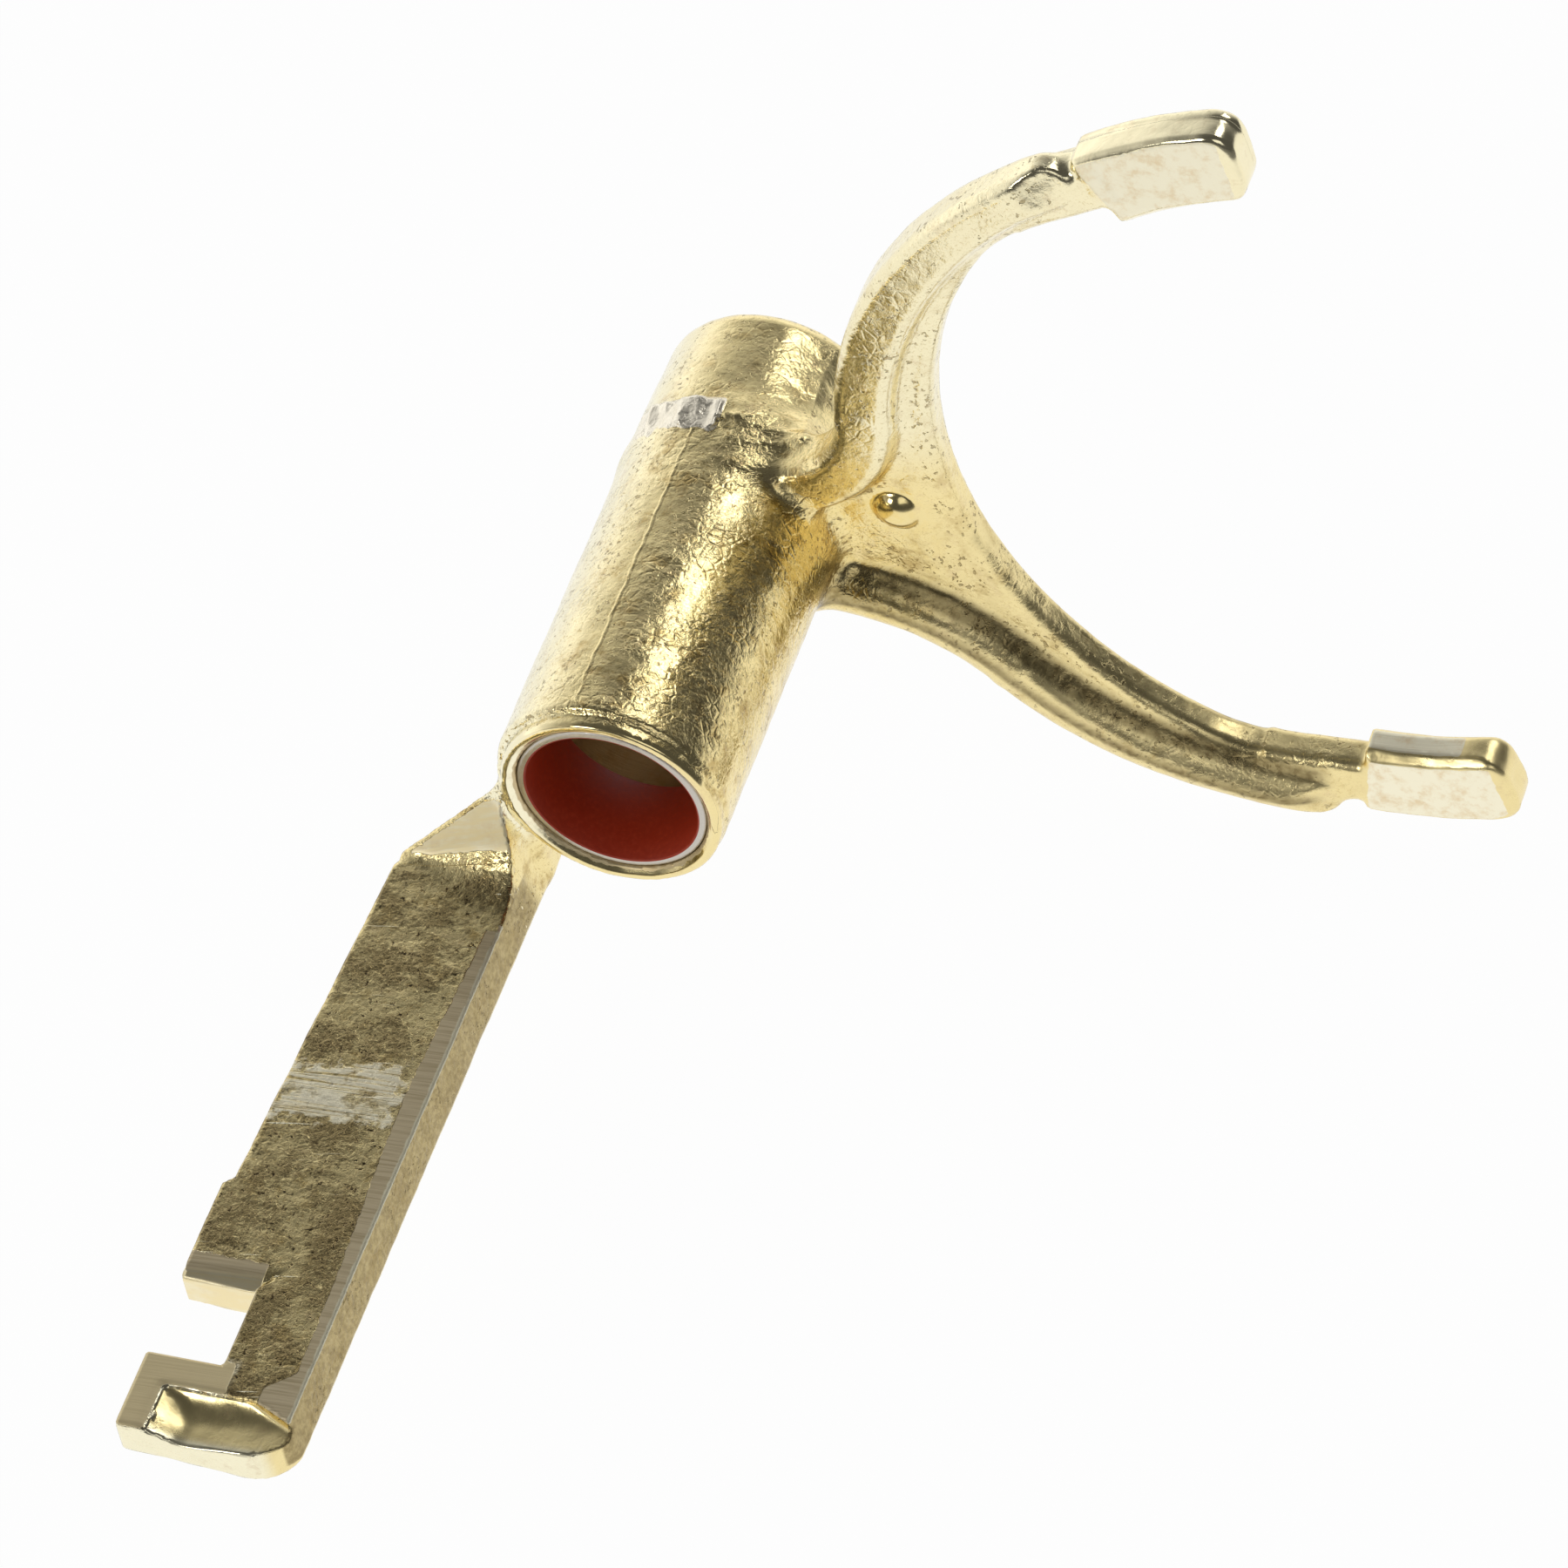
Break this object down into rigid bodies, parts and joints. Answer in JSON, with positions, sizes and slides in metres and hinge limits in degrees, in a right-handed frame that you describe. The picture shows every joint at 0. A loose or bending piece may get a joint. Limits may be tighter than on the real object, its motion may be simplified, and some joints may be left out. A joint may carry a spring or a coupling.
{
  "type": "transmission shift fork",
  "caption": "Cast brass gearbox shift fork: a bushed barrel slides on a selector rail, a ribbed C-shaped fork ends in thrust pads, and a flat arm ends in a notched gate.",
  "frame": {"origin": "on the axis of the rail bore, in the middle plane of the fork's pads", "axes": "+Y along the rail bore, away from the selector arm and its gate; +Z along the normal of the arm's wide face; +X across the rail toward the fork's open side"},
  "size_m": [0.1093, 0.1338, 0.0969],
  "materials": {
    "brass": "bright die-cast skin with milled faces on the pads and the arm",
    "bush": "steel back with a dark red sliding lining on its bore"
  },
  "bodies": {
    "root": {"fork_casting": "brass", "front_bush": "bush", "rear_bush": "bush"}
  },
  "joints": []
}
